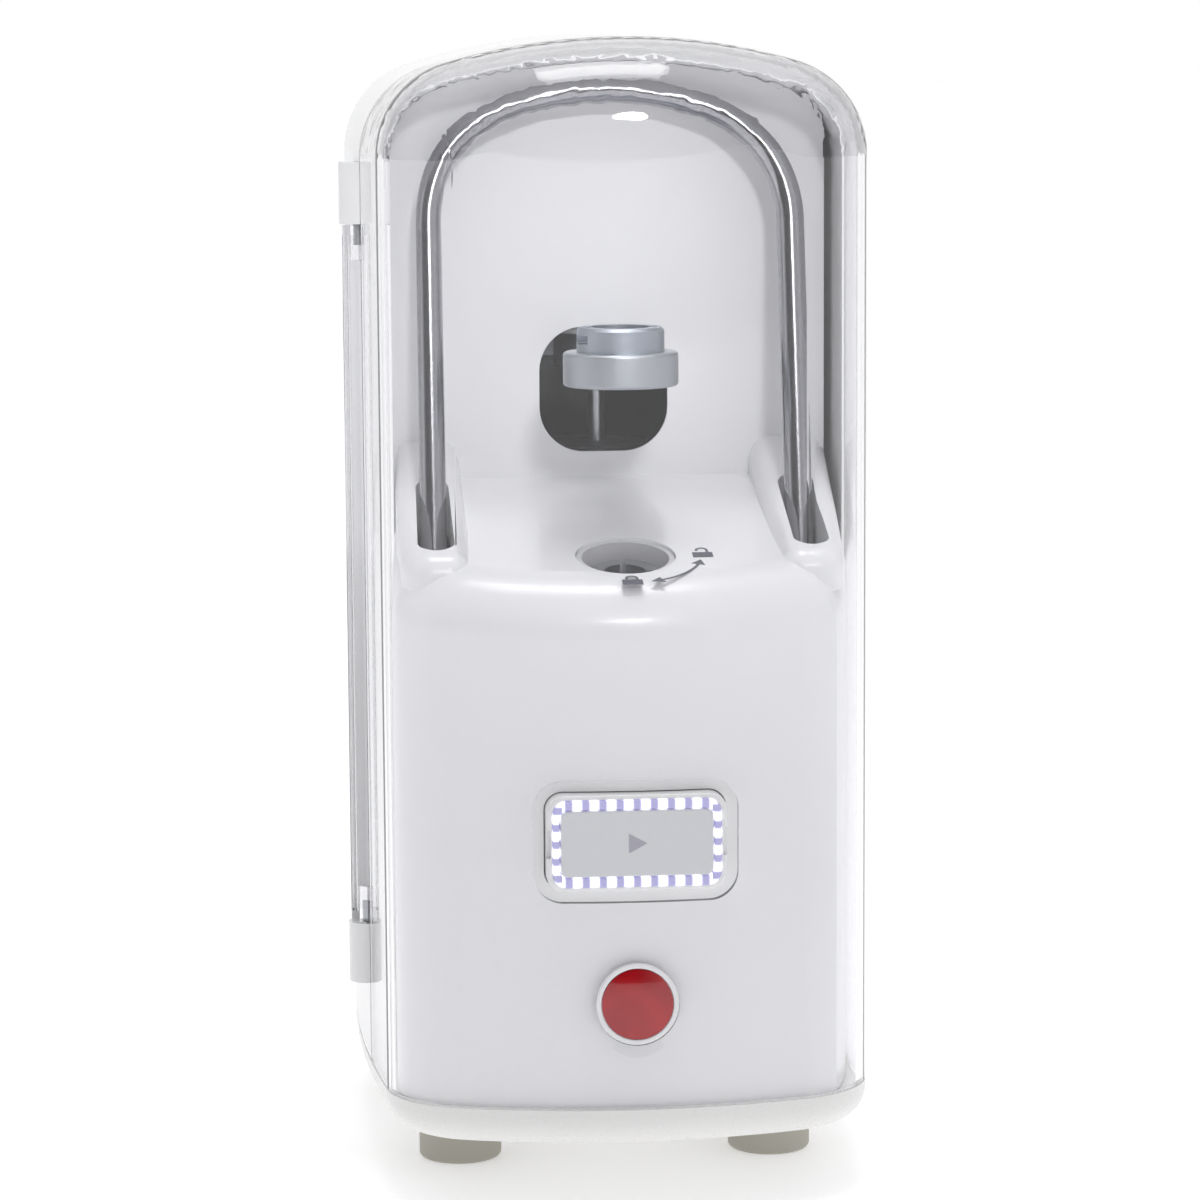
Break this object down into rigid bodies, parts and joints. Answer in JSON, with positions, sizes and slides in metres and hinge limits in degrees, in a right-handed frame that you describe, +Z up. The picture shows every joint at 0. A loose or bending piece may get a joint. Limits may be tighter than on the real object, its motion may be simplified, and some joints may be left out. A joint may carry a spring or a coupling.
{
  "type": "capsule mixer",
  "caption": "Tall white bench mixer for capsules: clear hinged front door, bent-tube lever, swinging arm with round holder, lit start button and turning socket in a sloping deck.",
  "frame": {"origin": "middle of the footprint, on the table under the feet", "axes": "+Z up, -Y the front with the door and the start button, +X to the right seen from the front"},
  "size_m": [0.1507, 0.1881, 0.325],
  "materials": {
    "white_shell": "smooth moulded shell, soft gloss",
    "clear_plastic": "clear moulded acrylic",
    "grey_plastic": "light grey moulded plastic",
    "grey_rubber": "soft grey-beige buffer rubber",
    "rubber": "black mount rubber",
    "steel": "ground steel",
    "plated_steel": "zinc-plated sheet steel",
    "polished_tube": "drawn stainless tube, fine lengthwise grain",
    "aluminium": "satin anodised",
    "satin_metal": "satin turned metal",
    "brass": "plated brass contact",
    "circuit_board": "green solder mask",
    "black_plastic": "fine texture",
    "black_paint": "black enamel",
    "light_guide": "milky light guide, lit",
    "button_panel": "smooth pale grey-lavender",
    "white_enamel": "gloss",
    "red_enamel": "domed gloss resin"
  },
  "bodies": {
    "housing": {"base_tray": "white_shell", "rear_cover": "white_shell", "recess_liner": "white_shell", "hinge_pins": "steel", "chassis_plate": "plated_steel", "foot_front_left": "grey_rubber", "foot_front_right": "grey_rubber", "foot_rear_left": "grey_rubber", "foot_rear_right": "grey_rubber", "foot_screws": "steel", "button_block": "white_shell", "light_frame": "light_guide", "control_board": "circuit_board", "push_switch": "black_plastic", "board_posts": "black_plastic", "axle_bracket_left": "plated_steel", "axle_bracket_right": "plated_steel", "socket_cup": "grey_plastic", "rubber_mounts": "rubber", "frame_pillars": "steel", "frame_plate": "plated_steel", "frame_screws": "steel", "frame_bearing": "steel", "motor_can": "black_paint", "end_bell": "black_plastic", "buffer_posts": "steel", "arm_buffers": "rubber", "power_board": "circuit_board", "mains_inlet": "black_plastic", "inlet_blades": "brass", "switch_bezel": "black_plastic"},
    "door": {"door": "clear_plastic", "badge_ring": "white_enamel", "badge_dome": "red_enamel"},
    "lever": {"lever_hoop": "polished_tube", "lever_axle": "steel", "axle_clips": "steel", "lift_cam": "grey_plastic"},
    "plunger": {"plunger": "steel"},
    "lock_socket": {"lock_socket": "steel"},
    "start_button": {"start_button": "button_panel"},
    "rotor": {"rotor": "steel", "flywheel": "plated_steel"},
    "mixing_arm": {"mixing_arm": "aluminium", "arm_bearing": "steel", "collar": "aluminium", "collar_screw": "steel"},
    "sleeve": {"sleeve": "satin_metal"},
    "power_rocker": {"power_rocker": "black_plastic"}
  },
  "joints": [
    {"name": "door_swing", "type": "hinge", "parent": "housing", "child": "door", "pos_m": [-0.0717, -0.0215, 0.1715], "axis": [0, 0, -1], "range_deg": [0, 110]},
    {"name": "lever_swing", "type": "hinge", "parent": "housing", "child": "lever", "pos_m": [0, -0.0495, 0.125], "axis": [1, 0, 0], "range_deg": [0, 18]},
    {"name": "plunger_lift", "type": "slide", "parent": "housing", "child": "plunger", "axis": [0, -0.2385, 0.9711], "range_m": [0, 0.003]},
    {"name": "socket_turn", "type": "hinge", "parent": "housing", "child": "lock_socket", "pos_m": [0, -0.0635, 0.1815], "axis": [0, -0.2385, 0.9711], "range_deg": [0, 90]},
    {"name": "start_press", "type": "slide", "parent": "housing", "child": "start_button", "axis": [0, 1, 0], "range_m": [0, 0.0012], "stiffness_N_per_m": 800, "springref_m": -0.001},
    {"name": "rotor_spin", "type": "hinge", "parent": "housing", "child": "rotor", "pos_m": [0, 0.0255, 0.2], "axis": [0, 0, 1], "continuous": true},
    {"name": "arm_swing", "type": "hinge", "parent": "housing", "child": "mixing_arm", "pos_m": [0, 0.0255, 0.2328], "axis": [0, 0, 1], "range_deg": [-4, 4], "stiffness_Nm_per_rad": 2},
    {"name": "sleeve_twist", "type": "hinge", "parent": "mixing_arm", "child": "sleeve", "pos_m": [0, -0.0525, 0.2328], "axis": [0, 0, 1], "range_deg": [0, 45]},
    {"name": "rocker_tilt", "type": "hinge", "parent": "housing", "child": "power_rocker", "pos_m": [0.026, 0.0885, 0.064], "axis": [1, 0, 0], "range_deg": [0, 14]}
  ],
  "couplings": [
    {"joint": "plunger_lift", "follows": "lever_swing", "m_per_rad": 0.0095493}
  ]
}
